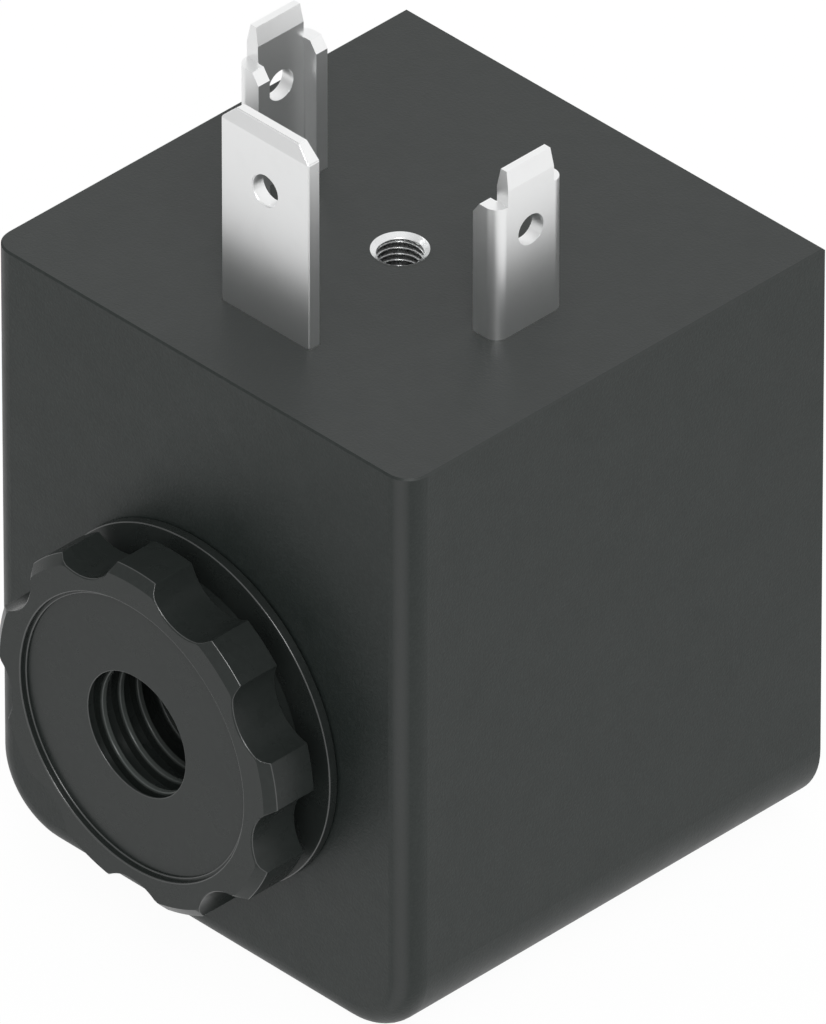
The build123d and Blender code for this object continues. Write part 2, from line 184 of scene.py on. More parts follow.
def relief(tree, shader, heights):
    normal = None
    for height, depth in heights:
        if not depth:
            continue
        bump = addNode(tree, "ShaderNodeBump")
        bump.inputs["Distance"].default_value = depth
        tree.links.new(height, bump.inputs["Height"])
        if normal:
            tree.links.new(normal, bump.inputs["Normal"])
        normal = bump.outputs["Normal"]
    if normal:
        tree.links.new(normal, shader.inputs["Normal"])


# Moulded plastics

blockFinish = {
    "colour": (0.0095, 0.0128, 0.0116),
    "fleck": (0.0140, 0.0180, 0.0166),
    # painted light: this paler colour paints the faces turned to the light, and the upright rounded edges,
    # lighter
    "paintedLight": (0.0262, 0.0288, 0.0280),
    "paintedLightShare": 0.7,
    "paintedLightSide": (0.30, 0.30, 0.905),  # painted light: faces that look this way are painted paler, as if lit
    "paintedEdgeShare": 1.0,
    "paintedEdgeSide": (0.5, 0.866, 0),  # painted highlight on the upright rounded edges, left and right alike
    "fleckSize": 0.16 * mm,
    "mottleSize": 2.4 * mm,
    "grainSize": 0.13 * mm,
    "grainDepth": 0.012 * mm,
    "swellSize": 4.0 * mm,
    "swellDepth": 0.010 * mm,
    "roughness": (0.42, 0.48),
    "specular": 0.325,
}

nutFinish = {
    "colour": (0.0125, 0.0150, 0.0140),
    "fleck": (0.0148, 0.0176, 0.0165),
    "paintedLight": (0.0148, 0.0176, 0.0165),
    "paintedLightShare": 0,
    "paintedLightSide": (0, 0, 1),
    "paintedEdgeShare": 0,
    "paintedEdgeSide": (0, 1, 0),
    "fleckSize": 0.3 * mm,
    "mottleSize": 3.0 * mm,
    "grainSize": 0.14 * mm,
    "grainDepth": 0.0015 * mm,
    "swellSize": 3.0 * mm,
    "swellDepth": 0.004 * mm,
    "roughness": (0.26, 0.30),
    "specular": 0.255,
}

nutEdgeFinish = dict(nutFinish, specular=1.0)  # edges polished by handling

plasticRanges = {
    "fleck": (0.42, 0.72),
    "mottle": 0.35,
    "paintedLight": (0.6, 0.85),  # painted light: a face that looks straight along the painted light's side counts as 1
    # painted highlight on the upright rounded edges
    "paintedEdge": (0.94, 1),
}


def mouldedPlastic(name, values):
    finish, tree, shader = newFinish(name)
    place = objectPlace(tree)
    specks = noise(tree, place, values["fleckSize"], 3.0, 0.6)
    flecks = spread(tree, specks, 0, 1, *plasticRanges["fleck"])
    mottle = spread(tree, noise(tree, place, values["mottleSize"], 3.0), 0, plasticRanges["mottle"])
    weight = sums(tree, "ADD", flecks, mottle, True)
    colour = tint(tree, weight, values["colour"], values["fleck"])
    normal = addNode(tree, "ShaderNodeTexCoord").outputs["Normal"]
    # painted light: faces turned towards the light are painted paler, and the upright rounded edges get a
    # painted highlight
    upward = facing(tree, normal, values["paintedLightSide"])
    paintedTop = spread(tree, upward, 0, values["paintedLightShare"], *plasticRanges["paintedLight"])
    allSides = addNode(tree, "ShaderNodeVectorMath", operation="ABSOLUTE")
    tree.links.new(normal, allSides.inputs[0])
    # painted highlight: the upright rounded edges are painted paler
    corner = facing(tree, allSides.outputs["Vector"], values["paintedEdgeSide"])
    paintedEdge = spread(tree, corner, 0, values["paintedEdgeShare"], *plasticRanges["paintedEdge"])
    paintedLightMask = sums(tree, "MAXIMUM", paintedTop, paintedEdge)
    tree.links.new(tint(tree, paintedLightMask, colour, values["paintedLight"]), shader.inputs["Base Color"])
    sheen = spread(tree, noise(tree, place, values["mottleSize"] / 2, 4.0), *values["roughness"])
    tree.links.new(sheen, shader.inputs["Roughness"])
    shader.inputs["Specular IOR Level"].default_value = values["specular"]
    grain = noise(tree, place, values["grainSize"], 2.0)
    swell = noise(tree, place, values["swellSize"], 1.0)
    relief(tree, shader, ((swell, values["swellDepth"]), (grain, values["grainDepth"])))
    return finish


# Metals

contactFinish = {
    "colour": (0.925, 0.930, 0.930),
    "dull": (0.905, 0.910, 0.910),
    "streak": (12, 12, 1.2),
    "streakSize": 3.0 * mm,
    "streakDepth": 0,
    "pitSize": 1.2 * mm,
    "pitDepth": 0,
    "roughness": (0.340, 0.346),
}

insertFinish = {
    "colour": (0.80, 0.81, 0.81),
    "dull": (0.72, 0.73, 0.73),
    "streak": (1, 1, 8),
    "streakSize": 1.4 * mm,
    "streakDepth": 0.00003 * mm,
    "pitSize": 0.8 * mm,
    "pitDepth": 0.00003 * mm,
    "roughness": (0.22, 0.26),
}

yokeFinish = {
    "colour": (0.42, 0.41, 0.39),
    "dull": (0.30, 0.29, 0.28),
    "streak": (1, 1, 6),
    "streakSize": 1.5 * mm,
    "streakDepth": 0.001 * mm,
    "pitSize": 0.35 * mm,
    "pitDepth": 0.002 * mm,
    "roughness": (0.32, 0.46),
}

springFinish = {
    "colour": (0.34, 0.34, 0.35),
    "dull": (0.22, 0.22, 0.23),
    "streak": (1, 8, 1),
    "streakSize": 1.0 * mm,
    "streakDepth": 0.0005 * mm,
    "pitSize": 0.3 * mm,
    "pitDepth": 0.0008 * mm,
    "roughness": (0.26, 0.36),
}

rivetFinish = {
    "colour": (0.66, 0.55, 0.33),
    "dull": (0.48, 0.38, 0.22),
    "streak": (1, 6, 1),
    "streakSize": 0.8 * mm,
    "streakDepth": 0.0006 * mm,
    "pitSize": 0.25 * mm,
    "pitDepth": 0.0012 * mm,
    "roughness": (0.28, 0.4),
}


dullRange = (0.5, 0.8)  # of the noise, from the metal's own colour to its dull one


def metal(name, values):
    finish, tree, shader = newFinish(name)
    along = objectPlace(tree, values["streak"])
    plain = objectPlace(tree)
    streaks = noise(tree, along, values["streakSize"], 4.0, 0.6)
    pits = noise(tree, plain, values["pitSize"], 3.0, 0.6)
    colour = tint(tree, spread(tree, pits, 0, 1, *dullRange), values["colour"], values["dull"])
    tree.links.new(colour, shader.inputs["Base Color"])
    shader.inputs["Metallic"].default_value = 1
    tree.links.new(spread(tree, streaks, *values["roughness"]), shader.inputs["Roughness"])
    relief(tree, shader, ((streaks, values["streakDepth"]), (pits, values["pitDepth"])))
    return finish


# Thread crests painted light over grooves painted dark: painted highlight and painted shade

nutThreadFinish = {
    "across": (1, 0, 1),
    # painted highlight on the crest, painted shade in the groove
    "crest": (0.052, 0.058, 0.055),
    "groove": (0.010, 0.012, 0.011),
    "paintedShadeRadii": (3.49 * mm, 3.66 * mm),  # radii from the thread's axis over which the painted shade deepens, crest to groove
    "metallic": 0,
    "grainSize": 0.2 * mm,
    "grainDepth": 0.0005 * mm,
    "roughness": (0.20, 0.24),
}

insertThreadFinish = {
    "across": (1, 1, 0),
    # painted highlight on the crest, painted shade in the groove
    "crest": (0.86, 0.87, 0.87),
    "groove": (0.42, 0.425, 0.425),
    "paintedShadeRadii": (1.205 * mm, 1.27 * mm),
    "metallic": 1,
    "grainSize": 0.3 * mm,
    "grainDepth": 0.00005 * mm,
    "roughness": (0.24, 0.30),
}


def paintedShadeThread(name, values, centre):
    finish, tree, shader = newFinish(name)
    shift = [-middle * along for middle, along in zip(centre, values["across"])]
    out = addNode(tree, "ShaderNodeVectorMath", operation="LENGTH")
    tree.links.new(objectPlace(tree, values["across"], shift), out.inputs[0])
    # painted shade: darker the further from the axis, down into the grooves
    depth = spread(tree, out.outputs["Value"], 0, 1, *values["paintedShadeRadii"])
    tree.links.new(tint(tree, depth, values["crest"], values["groove"]), shader.inputs["Base Color"])
    shader.inputs["Metallic"].default_value = values["metallic"]
    grain = noise(tree, objectPlace(tree), values["grainSize"], 2.0)
    tree.links.new(spread(tree, grain, *values["roughness"]), shader.inputs["Roughness"])
    relief(tree, shader, ((grain, values["grainDepth"]),))
    return finish


# Rubber, tape, wire and spool

softFinishes = {
    "seal_rubber": {"colour": (0.016, 0.016, 0.017), "fleck": (0.028, 0.028, 0.029),
                    "roughness": (0.55, 0.72), "grainSize": 0.12 * mm, "grainDepth": 0.003 * mm},
    "tape": {"colour": (0.52, 0.36, 0.07), "fleck": (0.62, 0.45, 0.12), "roughness": (0.28, 0.38),
             "grainSize": 0.6 * mm, "grainDepth": 0.004 * mm},
    "copper_wire": {"colour": (0.55, 0.20, 0.08), "fleck": (0.66, 0.28, 0.12), "roughness": (0.2, 0.3),
                    "grainSize": 0.3 * mm, "grainDepth": 0.001 * mm},
    "sleeve": {"colour": (0.62, 0.60, 0.53), "fleck": (0.72, 0.70, 0.62), "roughness": (0.5, 0.62),
               "grainSize": 0.15 * mm, "grainDepth": 0.004 * mm},
    "spool_plastic": {"colour": (0.30, 0.27, 0.22), "fleck": (0.38, 0.35, 0.29), "roughness": (0.4, 0.52),
                      "grainSize": 0.2 * mm, "grainDepth": 0.002 * mm},
}


def softFinish(name):
    values = softFinishes[name]
    finish, tree, shader = newFinish(name)
    place = objectPlace(tree)
    grain = noise(tree, place, values["grainSize"], 3.0)
    colour = tint(tree, spread(tree, grain, 0, 1), values["colour"], values["fleck"])
    tree.links.new(colour, shader.inputs["Base Color"])
    tree.links.new(spread(tree, grain, *values["roughness"]), shader.inputs["Roughness"])
    relief(tree, shader, ((grain, values["grainDepth"]),))
    return finish


screwHole = [(low + high) / 2 for low, high in zip(*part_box("plug_screw_insert"))]
finishes = {
    "moulding": mouldedPlastic("moulding", blockFinish),
    "nut_plastic": mouldedPlastic("nut_plastic", nutFinish),
    "nut_edge": mouldedPlastic("nut_edge", nutEdgeFinish),
    "contact_metal": metal("contact_metal", contactFinish),
    "insert_metal": metal("insert_metal", insertFinish),
    "yoke_steel": metal("yoke_steel", yokeFinish),
    "spring_steel": metal("spring_steel", springFinish),
    "rivet_metal": metal("rivet_metal", rivetFinish),
    "nut_thread": paintedShadeThread("nut_thread", nutThreadFinish, (0, 0, 0)),
    "insert_thread": paintedShadeThread("insert_thread", insertThreadFinish, screwHole),
}
for name in softFinishes:
    finishes[name] = softFinish(name)

nodeFinish = {
    "housing": "moulding",
    "knurled_nut": "nut_plastic",
    "contact_left": "contact_metal",
    "contact_right": "contact_metal",
    "contact_earth": "contact_metal",
    "plug_screw_insert": "insert_thread",
    "yoke_bracket": "yoke_steel",
    "yoke_plate": "yoke_steel",
    "flux_bush_rear": "yoke_steel",
    "flux_bush_front": "yoke_steel",
    "earth_rivet": "rivet_metal",
    "nut_retaining_ring": "spring_steel",
    "bobbin": "spool_plastic",
    "terminal_carrier": "spool_plastic",
    "winding": "copper_wire",
    "winding_tape": "tape",
    "lead_start": "copper_wire",
    "lead_finish": "copper_wire",
    "lead_sleeve_start": "sleeve",
    "lead_sleeve_finish": "sleeve",
    "rear_seal": "seal_rubber",
    "nut_seal": "seal_rubber",
}


def dress(node, finish):
    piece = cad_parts[node]
    piece.data.materials.clear()
    piece.data.materials.append(finish)


for node, finish in nodeFinish.items():
    dress(node, finishes[finish])
print("finishes on every CAD piece")


# Mesh helpers

def keepMesh(name, mesh, finish, body=None):
    data = bpy.data.meshes.new(name)
    mesh.to_mesh(data)
    mesh.free()
    piece = newObject(name, data)
    data.materials.append(finishes[finish])
    if body:
        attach(piece, body)
    return piece


def evenShading(piece, crease=30):
    # each corner's normal is the mean of the faces round it that lie within the crease angle, by area
    data = piece.data
    limit = math.cos(math.radians(crease))
    faces = [(face.normal.copy(), face.area / mm ** 2, tuple(face.vertices)) for face in data.polygons]
    around = [[] for vertex in data.vertices]
    for normal, area, corners in faces:
        for corner in corners:
            around[corner].append((normal, normal * area))
    normals = []
    for normal, area, corners in faces:
        for corner in corners:
            total = Vector()
            for other, weighed in around[corner]:
                if normal.dot(other) > limit:
                    total += weighed
            normals.append(total.normalized())
    data.shade_smooth()
    data.normals_split_custom_set(normals)


cutShare = 0.45  # of a side, the most that one rounded corner takes


def roundCorner(before, corner, after, radius, steps):
    back, on = before - corner, after - corner
    longest = cutShare * min(back.length, on.length)
    back.normalize()
    on.normalize()
    half = back.angle(on) / 2
    cut = min(radius / math.tan(half), longest)
    centre = corner + (back + on).normalized() * cut / math.cos(half)
    start, end = corner + back * cut - centre, corner + on * cut - centre
    sweep = math.pi - 2 * half
    points = []
    for step in range(steps + 1):
        t = step / steps
        first, last = math.sin((1 - t) * sweep), math.sin(t * sweep)
        points.append(centre + (start * first + end * last) / math.sin(sweep))
    return points


def roundProfile(points, steps=4):
    # points are (across, along, radius) and run round a closed outline
    corners = [Vector(point[:2]) for point in points]
    outline = []
    for i, point in enumerate(points):
        if point[2]:
            after = corners[(i + 1) % len(corners)]
            outline += roundCorner(corners[i - 1], corners[i], after, point[2], steps)
        else:
            outline.append(corners[i])
    return outline


def roundedSides(points, steps=4):
    # marks the sides of a rounded outline that belong to its arcs
    marks = []
    for point in points:
        marks += [1] * steps + [0] if point[2] else [0]
    return marks


def joinRings(mesh, rings, closed):
    count = len(rings[0])
    pairs = list(zip(rings, rings[1:]))
    if closed:
        pairs.append((rings[-1], rings[0]))
    for first, second in pairs:
        for i in range(count):
            j = (i + 1) % count
            mesh.faces.new((first[i], first[j], second[j], second[i]))
    if not closed:
        mesh.faces.new(list(reversed(rings[0])))
        mesh.faces.new(rings[-1])
    bmesh.ops.recalc_face_normals(mesh, faces=mesh.faces)


def prism(name, outline, travel):
    mesh = bmesh.new()
    base = mesh.faces.new([mesh.verts.new(point) for point in outline])
    moved = bmesh.ops.extrude_face_region(mesh, geom=[base])["geom"]
    corners = [item for item in moved if isinstance(item, bmesh.types.BMVert)]
    bmesh.ops.translate(mesh, verts=corners, vec=travel)
    bmesh.ops.recalc_face_normals(mesh, faces=mesh.faces)
    return keepMesh(name, mesh, "contact_metal")


def combine(base, tool, operation):
    cut = base.modifiers.new("cut", "BOOLEAN")
    cut.operation = operation
    cut.solver = "EXACT"
    cut.object = tool
    made = bpy.data.meshes.new_from_object(base.evaluated_get(bpy.context.evaluated_depsgraph_get()))
    base.modifiers.clear()
    base.data = made
    bpy.data.objects.remove(tool)


# Scalloped nut

nutShape = {
    "rim": 0.55 * mm,
    "neck": 8.0 * mm,
    "ringBack": 1.65 * mm,
    "height": 4.7 * mm,
    "bevelWidth": 0.55 * mm,
    "bevelHeight": 0.45 * mm,
    "dish": 8.11 * mm,
    "dishDepth": 0.25 * mm,
    "ledge": 0.2 * mm,
    "step": 0.13 * mm,
    "mouth": 3.54 * mm,
    "mouthDepth": 0.1 * mm,
    "bore": 4.05 * mm,
    "spigot": 6.3 * mm,
    "groove": (-28.4 * mm, -27.7 * mm, 5.7 * mm),  # retaining ring's groove: its two ends and its radius
    "sealSeat": (6.5 * mm, 7.7 * mm, 1.0 * mm),  # the seal's inner and outer radius and depth
    "scallops": 9,
    "scallopRadius": 2.77 * mm,
    "scallopFloor": 8.89 * mm,
    "edge": 0.07 * mm,
    "cornerBlend": 0.05 * mm,
    "cornerTurn": 0.5,  # degrees on each side of a scallop's corner that are meshed finely
    "scoopSteps": 10,
    "cornerSteps": 3,
}


def scallopedRadius(turn, radius):
    # how far out the ring reaches at a turn measured from the middle of a scallop
    values = nutShape
    middle = values["scallopFloor"] + values["scallopRadius"]
    across = middle * math.sin(turn)
    if abs(across) >= values["scallopRadius"]:
        return radius
    scoop = middle * math.cos(turn) - math.sqrt(values["scallopRadius"] ** 2 - across ** 2)
    blend = values["cornerBlend"]
    share = min(1, max(0, 0.5 + 0.5 * (radius - scoop) / blend))
    return radius * (1 - share) + scoop * share - blend * share * (1 - share)


def scallopTurns(radius):
    values = nutShape
    middle = values["scallopFloor"] + values["scallopRadius"]
    cosine = (middle ** 2 + radius ** 2 - values["scallopRadius"] ** 2) / (2 * middle * radius)
    corner = math.acos(cosine)
    half = math.pi / values["scallops"]
    near = math.radians(values["cornerTurn"])
    coarse, fine = values["scoopSteps"], values["cornerSteps"]
    turns = [corner * i / coarse for i in range(1, coarse)]
    turns += [corner + near * i / fine for i in range(-fine, fine + 1)]
    turns += [corner + near + (half - corner - near) * i / fine for i in range(1, fine)]
    return [-half] + [-turn for turn in reversed(turns)] + [0] + turns


def nutProfile(outer, radius, back, tail):
    values = nutShape
    edge = values["edge"]
    front = back - values["height"]
    bevel = max(edge, outer - (radius - values["bevelWidth"]))
    fall = max(edge, bevel * values["bevelHeight"] / values["bevelWidth"])
    dish = front + values["dishDepth"]
    disc = dish + values["step"]
    inner = values["dish"] - values["ledge"]
    ringBack = back - values["ringBack"]
    grooveFront, grooveBack, grooveRadius = values["groove"]
    seatIn, seatOut, seatDepth = values["sealSeat"]
    return [
        (values["bore"], tail, 0),
        (values["spigot"], tail, edge),
        (values["spigot"], grooveBack, 0),
        (grooveRadius, grooveBack, 0),
        (grooveRadius, grooveFront, 0),
        (values["spigot"], grooveFront, 0),
        (values["spigot"], back, 0),
        (seatIn, back, 0),
        (seatIn, back - seatDepth, 0),
        (seatOut, back - seatDepth, 0),
        (seatOut, back, 0),
        (radius, back, edge),
        (radius, back - values["rim"], edge),
        (values["neck"], back - values["rim"], 0),
        (values["neck"], ringBack, 0),
        (outer, ringBack, edge),
        (outer, front + fall, edge),
        (outer - bevel, front, 0),
        (values["dish"], front, edge),
        (values["dish"], dish, 0),
        (inner, dish, edge),
        (inner, disc, 0),
        (values["mouth"], disc, edge),
        (values["mouth"], disc + values["mouthDepth"], 0),
        (values["bore"], disc + values["mouthDepth"], 0),
    ]


def makeNut():
    low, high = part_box("knurled_nut")
    radius = (high[0] - low[0]) / 2
    back = low[1] + nutShape["height"]
    turns = scallopTurns(radius)
    pitch = math.tau / nutShape["scallops"]
    mesh = bmesh.new()
    rings = []
    for scallop in range(nutShape["scallops"]):
        for turn in turns:
            angle = -math.pi / 2 + scallop * pitch + turn
            outline = roundProfile(nutProfile(scallopedRadius(turn, radius), radius, back, high[1]))
            across = (math.cos(angle), math.sin(angle))
            rings.append([mesh.verts.new((across[0] * r, y, across[1] * r)) for r, y in outline])
    joinRings(mesh, rings, True)
    nut = keepMesh("scalloped_nut", mesh, "nut_plastic", "nut")
    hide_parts("knurled_nut")
    nut.data.materials.append(finishes["nut_edge"])
    marks = roundedSides(nutProfile(radius, radius, back, high[1]))
    nut.data.polygons.foreach_set("material_index", marks * len(rings))
    evenShading(nut)


makeNut()
print("nut turned")


# Plug contacts

contactShape = {
    "sheet": 0.8 * mm,
    "tongue": 3.25 * mm,
    "tipHeight": 1.07 * mm,
    "tip": (0.42 * mm, 3.09 * mm),
    "shoulder": 2.03 * mm,  # from the tongue's tip down to the rolled edges
    "rollFoot": 14.85 * mm,  # from the tongue's tip down to the carrier
    "outerRound": 0.85 * mm,
    "innerRound": 0.1 * mm,
    "slope": (0.45 * mm, 0.65 * mm),
    "rollSteps": 20,
    "holeDrop": 4.17 * mm,
    "hole": 0.89 * mm,
    "edge": 0.035 * mm,
}

earthShape = {
    "tail": 5.0 * mm,
    "tailTop": 15.1 * mm,  # from the tip down to the top of the tail
    "corner": (0.92 * mm, 0.84 * mm),
    "bevel": (0.22 * mm, 0.84 * mm),
    "holeDrop": 3.87 * mm,
    "hole": 0.89 * mm,
    "rivetDrop": 20.05 * mm,
    "rivetHole": 0.93 * mm,
    "edge": 0.055 * mm,
}

brokenEdge = {
    "merge": 0.001 * mm,
    "flat": 1,  # degrees up to which two faces count as one
    "sharp": 40,  # degrees from which an edge is broken
    "segments": 2,
    "crease": 8,  # degrees from which faces are shaded apart
}

cutterReach = 1 * mm  # how far the cutters stand out of the sheet


def circleOutline(centre, first, second, radius, steps=64):
    points = []
    for step in range(steps):
        turn = math.tau * step / steps
        points.append(centre + first * (radius * math.cos(turn)) + second * (radius * math.sin(turn)))
    return points


def softEdges(piece, width):
    mesh = bmesh.new()
    mesh.from_mesh(piece.data)
    bmesh.ops.remove_doubles(mesh, verts=mesh.verts, dist=brokenEdge["merge"])
    flat, limit = math.radians(brokenEdge["flat"]), math.radians(brokenEdge["sharp"])
    bmesh.ops.dissolve_limit(mesh, angle_limit=flat, verts=mesh.verts, edges=mesh.edges)
    sharp = [edge for edge in mesh.edges if edge.is_convex and edge.calc_face_angle(0) > limit]
    segments = brokenEdge["segments"]
    bmesh.ops.bevel(mesh, geom=sharp, offset=width, segments=segments, affect="EDGES", clamp_overlap=True)
    mesh.to_mesh(piece.data)
    mesh.free()
    evenShading(piece, brokenEdge["crease"])


def makePowerContact(node, name, side):
    values = contactShape
    low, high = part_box(node)
    middle = (low[1] + high[1]) / 2
    half = (high[1] - low[1]) / 2
    face = max(abs(low[0]), abs(high[0]))
    depth = high[0] - low[0]
    tip = high[2]
    shoulder = tip - values["shoulder"]
    inner = face - values["sheet"]
    trough = half - values["sheet"]

    profile = roundProfile([
        (face - depth, -half, 0),
        (face, -half, values["outerRound"]),
        (face, half, values["outerRound"]),
        (face - depth, half, 0),
        (face - depth, trough, 0),
        (inner, trough, values["innerRound"]),
        (inner, -trough, values["innerRound"]),
        (face - depth, -trough, 0),
    ], values["rollSteps"])
    foot = tip - values["rollFoot"]
    outline = [(side * x, middle + y, foot) for x, y in profile]
    contact = prism(name, outline, (0, 0, shoulder - foot))

    slopeDeep, slopeHigh = values["slope"]
    start = middle - 2 * half
    free = face - depth
    above, beside = shoulder + cutterReach, free - cutterReach
    wedge = [
        (side * beside, start, above),
        (side * beside, start, shoulder - slopeHigh * (1 + cutterReach / slopeDeep)),
        (side * (free + slopeDeep * (1 + cutterReach / slopeHigh)), start, above),
    ]
    combine(contact, prism("wedge", wedge, (0, 4 * half, 0)), "DIFFERENCE")

    mesh = bmesh.new()
    rows = (
        (low[2], values["sheet"], values["tongue"]),
        (tip - values["tipHeight"], values["sheet"], values["tongue"]),
        (tip, values["tip"][0], values["tip"][1]),
    )
    rings = []
    for z, thick, wide in rows:
        x = side * (face - values["sheet"] / 2)
        corners = ((-1, -1), (1, -1), (1, 1), (-1, 1))
        rings.append([mesh.verts.new((x + a * thick / 2, middle + b * wide / 2, z)) for a, b in corners])
    joinRings(mesh, rings, False)
    combine(contact, keepMesh("tongue", mesh, "contact_metal"), "UNION")

    hole = Vector((side * (inner - cutterReach), middle, tip - values["holeDrop"]))
    drill = circleOutline(hole, Vector((0, 1, 0)), Vector((0, 0, 1)), values["hole"])
    combine(contact, prism("drill", drill, (side * 3 * cutterReach, 0, 0)), "DIFFERENCE")
    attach(contact, "coil")
    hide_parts(node)
    softEdges(contact, values["edge"])


def makeEarthContact():
    values = earthShape
    low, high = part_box("contact_earth")
    half = (high[0] - low[0]) / 2
    tail = values["tail"] / 2
    tip = high[2]
    step = tip - values["tailTop"]
    cornerWide, cornerHigh = values["corner"]
    outline = [
        (-tail, low[2]), (tail, low[2]), (tail, step), (half, step), (half, tip - cornerHigh),
        (half - cornerWide, tip), (cornerWide - half, tip), (-half, tip - cornerHigh), (-half, step),
        (-tail, step),
    ]
    contact = prism("earth_contact", [(x, low[1], z) for x, z in outline], (0, high[1] - low[1], 0))
    bevelDeep, bevelHigh = values["bevel"]
    wedge = [
        Vector((-2 * half, low[1] - bevelDeep, tip - 2 * bevelHigh)),
        Vector((-2 * half, low[1] + 2 * bevelDeep, tip + bevelHigh)),
        Vector((-2 * half, low[1] - bevelDeep, tip + bevelHigh)),
    ]
    combine(contact, prism("wedge", wedge, (4 * half, 0, 0)), "DIFFERENCE")
    for drop, radius in ((values["holeDrop"], values["hole"]), (values["rivetDrop"], values["rivetHole"])):
        centre = Vector((0, low[1] - cutterReach, tip - drop))
        drill = circleOutline(centre, Vector((1, 0, 0)), Vector((0, 0, 1)), radius)
        combine(contact, prism("drill", drill, (0, 3 * cutterReach, 0)), "DIFFERENCE")
    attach(contact, "coil")
    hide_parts("contact_earth")
    softEdges(contact, values["edge"])


makePowerContact("contact_left", "left_contact", -1)
makePowerContact("contact_right", "right_contact", 1)
makeEarthContact()
print("contacts stamped and rolled")


# Screw threads

nutThread = {
    "root": 4.06 * mm,
    "crest": 3.47 * mm,
    "pitch": 1.25 * mm,
    "crestWidth": 0.26 * mm,
    "footWidth": 0.44 * mm,
    "round": (0.08 * mm, 0),  # at the side towards the mouth and at the other
    "fade": 0.15,  # turns over which each end runs out
    "steps": 96,
    "turn": 0.0,
}

insertThread = {
    "root": 1.505 * mm,
    "crest": 1.2 * mm,
    "pitch": 0.372 * mm,
    "crestWidth": 0.06 * mm,
    "footWidth": 0.36 * mm,
    "round": (0.02 * mm, 0.02 * mm),
    "fade": 0.2,
    "steps": 64,
    "turn": -0.25,
}

thinnestRidge = 0.02  # of the full height, where a ridge runs out


def threadRidge(name, values, start, direction, length, body):
    along = Vector(direction).normalized()
    first = along.orthogonal().normalized()
    second = along.cross(first)
    pitch = values["pitch"]
    turns = (length - values["footWidth"]) / pitch
    count = round(turns * values["steps"])
    depth = values["root"] - values["crest"]
    mesh = bmesh.new()
    rings = []
    for step in range(count + 1):
        turn = step / values["steps"]
        fade = max(thinnestRidge, min(1, turn / values["fade"], (turns - turn) / values["fade"]))
        crest = values["root"] - depth * fade
        middle = values["footWidth"] / 2 + pitch * turn
        foot, top = values["footWidth"] / 2, values["crestWidth"] / 2
        profile = roundProfile([
            (values["root"], middle - foot, 0),
            (crest, middle - top, values["round"][0]),
            (crest, middle + top, values["round"][1]),
            (values["root"], middle + foot, 0),
        ])
        angle = (turn + values["turn"]) * math.tau
        out = first * math.cos(angle) + second * math.sin(angle)
        rings.append([mesh.verts.new(Vector(start) + out * r + along * a) for r, a in profile])
    joinRings(mesh, rings, False)
    evenShading(keepMesh(name, mesh, name, body))


def cutNutThread():
    low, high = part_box("knurled_nut")
    disc = low[1] + nutShape["dishDepth"] + nutShape["step"]
    start = disc + nutShape["mouthDepth"]
    threadRidge("nut_thread", nutThread, (0, start, 0), (0, 1, 0), high[1] - start, "nut")


leadIn = {
    "mouth": 1.53 * mm,
    "depth": 0.22 * mm,
    "throat": 0.12 * mm,
    "thread": 0.074 * mm,  # where the first thread begins
    "threadLength": 6.2 * mm,
    "round": 0.12 * mm,
    "throatRound": 0.02 * mm,
    "roundSteps": 6,
    "ringSteps": 128,
    "lip": 1.66 * mm,  # the moulding laps over the insert's rim out to here
    "lipRise": 0.005 * mm,
    "lipDepth": 0.04 * mm,
}


def turnedRing(name, profile, centre, finish):
    mesh = bmesh.new()
    rings = []
    outline = roundProfile(profile, leadIn["roundSteps"])
    for step in range(leadIn["ringSteps"]):
        turn = math.tau * step / leadIn["ringSteps"]
        rings.append([
            mesh.verts.new((centre[0] + r * math.cos(turn), centre[1] + r * math.sin(turn), centre[2] + z))
            for r, z in outline
        ])
    joinRings(mesh, rings, True)
    evenShading(keepMesh(name, mesh, finish, "coil"))


def cutInsertThread():
    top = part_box("plug_screw_insert")[1][2]
    centre = (screwHole[0], screwHole[1], top)
    crest, root, depth = insertThread["crest"], insertThread["root"], leadIn["depth"]
    throat = depth + leadIn["throat"]
    turnedRing("insert_lead_in", [
        (leadIn["mouth"], 0, 0),
        (crest, -depth, leadIn["round"]),
        (crest, -throat, leadIn["throatRound"]),
        (root, -throat - leadIn["throat"], 0),
        (root, -depth / 2, 0),
    ], centre, "insert_metal")
    turnedRing("insert_lip", [
        (leadIn["lip"], leadIn["lipRise"], 0),
        (leadIn["mouth"], leadIn["lipRise"], 0),
        (leadIn["mouth"], -leadIn["lipDepth"], 0),
        (leadIn["lip"], -leadIn["lipDepth"], 0),
    ], centre, "moulding")
    start = (screwHole[0], screwHole[1], top - leadIn["thread"])
    length = leadIn["threadLength"]
    threadRidge("insert_thread", insertThread, start, (0, 0, -1), length, "coil")


cutNutThread()
cutInsertThread()
print("threads cut")


# Studio: floor, lamp and white surroundings

studio = {
    "floorSize": 6.0,
    "floorGap": 0.01 * mm,
    "floorColour": (0.80, 0.80, 0.80),
    "floorRoughness": 0.9,
    "floorWhite": 0.96,  # share of plain white that the camera sees
    "floorGlow": (0.96, 0.55),  # what reflections see of the floor, near and far
    "floorFall": (0.10, 0.50),
    "brightSpot": (0.06, 0.06, 0),
    "skyGlow": (0.50, 0.96),  # what reflections see of the sky's dark and bright sides
    "skyRise": (-0.6, 0.45),
    "brightSide": (0.50, 0.60, 0.62),
    "skyLight": 1.10,
}

softbox = {"place": (1.27, -1.04, 1.61), "size": 0.9, "power": 22}


def seenPlainly(tree, rays):
    return sums(tree, "MAXIMUM", rays.outputs["Is Camera Ray"], rays.outputs["Is Transmission Ray"])


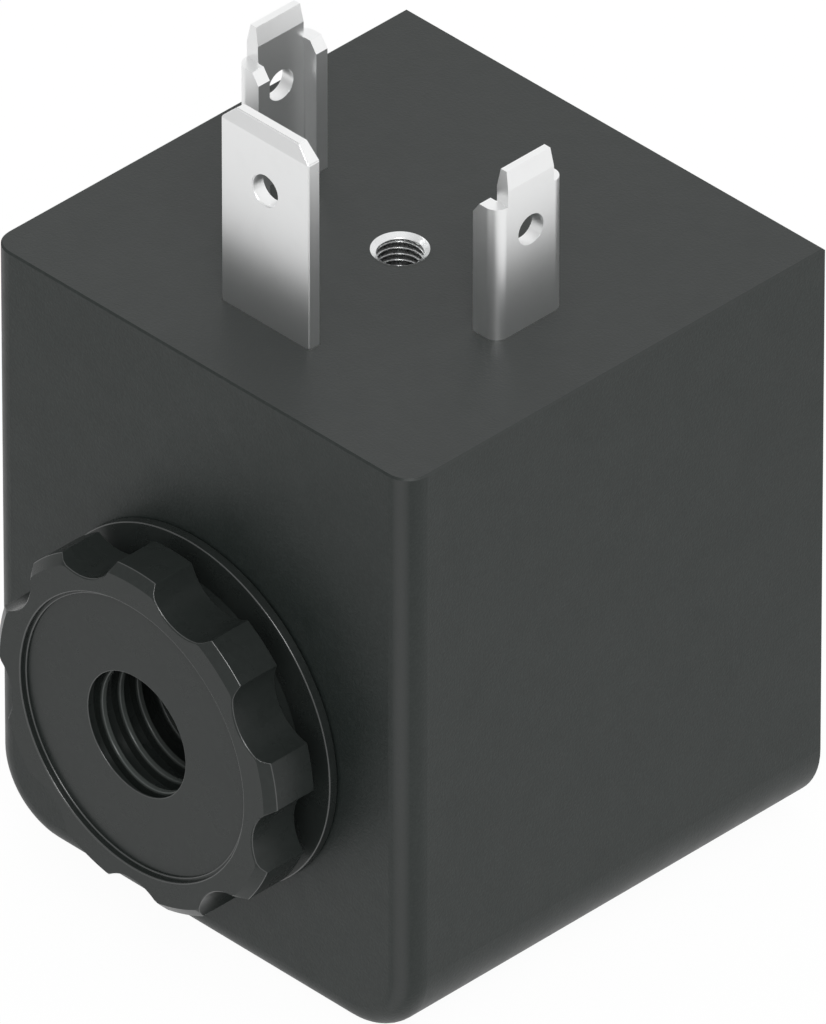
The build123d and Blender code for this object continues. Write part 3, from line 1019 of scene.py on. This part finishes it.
def layFloor():
    half = studio["floorSize"] / 2
    low = cadBox[0][2] - studio["floorGap"]
    data = bpy.data.meshes.new("studio_floor")
    corners = ((-half, -half), (half, -half), (half, half), (-half, half))
    data.from_pydata([(x, y, low) for x, y in corners], [], [(0, 1, 2, 3)])
    floor = newObject("studio_floor", data)
    finish, tree, shader = newFinish("pale_floor")
    shader.inputs["Base Color"].default_value = (*studio["floorColour"], 1)
    shader.inputs["Roughness"].default_value = studio["floorRoughness"]
    rays = addNode(tree, "ShaderNodeLightPath")
    white = sums(tree, "MULTIPLY", seenPlainly(tree, rays), studio["floorWhite"])
    share = sums(tree, "MAXIMUM", rays.outputs["Is Glossy Ray"], white)
    far = addNode(tree, "ShaderNodeVectorMath", operation="DISTANCE")
    tree.links.new(objectPlace(tree), far.inputs[0])
    far.inputs[1].default_value = studio["brightSpot"]
    glow = spread(tree, far.outputs["Value"], *studio["floorGlow"], *studio["floorFall"])
    shine = addNode(tree, "ShaderNodeEmission")
    tree.links.new(blend(tree, rays.outputs["Is Glossy Ray"], 1, glow), shine.inputs["Strength"])
    mix = addNode(tree, "ShaderNodeMixShader")
    tree.links.new(share, mix.inputs["Fac"])
    tree.links.new(shader.outputs["BSDF"], mix.inputs[1])
    tree.links.new(shine.outputs["Emission"], mix.inputs[2])
    tree.links.new(mix.outputs[0], tree.nodes["Material Output"].inputs["Surface"])
    data.materials.append(finish)


def hangSoftbox():
    light = bpy.data.lights.new("softbox", "AREA")
    light.shape = "DISK"
    light.size = softbox["size"]
    light.energy = softbox["power"]
    lamp = newObject("softbox", light)
    lamp.location = softbox["place"]
    middle = (Vector(cadBox[0]) + Vector(cadBox[1])) / 2
    lamp.rotation_euler = (middle - lamp.location).to_track_quat("-Z", "Y").to_euler()


def whiteSurroundings():
    world = bpy.data.worlds.new("studio_sky")
    world.use_nodes = True
    tree = world.node_tree
    sky = tree.nodes["Background"]
    sky.inputs["Color"].default_value = (1, 1, 1, 1)
    rays = addNode(tree, "ShaderNodeLightPath")
    direction = addNode(tree, "ShaderNodeTexCoord").outputs["Generated"]
    rise = facing(tree, direction, studio["brightSide"])
    glow = spread(tree, rise, *studio["skyGlow"], *studio["skyRise"])
    plain = blend(tree, seenPlainly(tree, rays), studio["skyLight"], 1)
    strength = blend(tree, rays.outputs["Is Glossy Ray"], plain, glow)
    tree.links.new(strength, sky.inputs["Strength"])
    bpy.context.scene.world = world


layFloor()
hangSoftbox()
whiteSurroundings()
bpy.context.scene.view_settings.view_transform = "Standard"
print("studio lit")
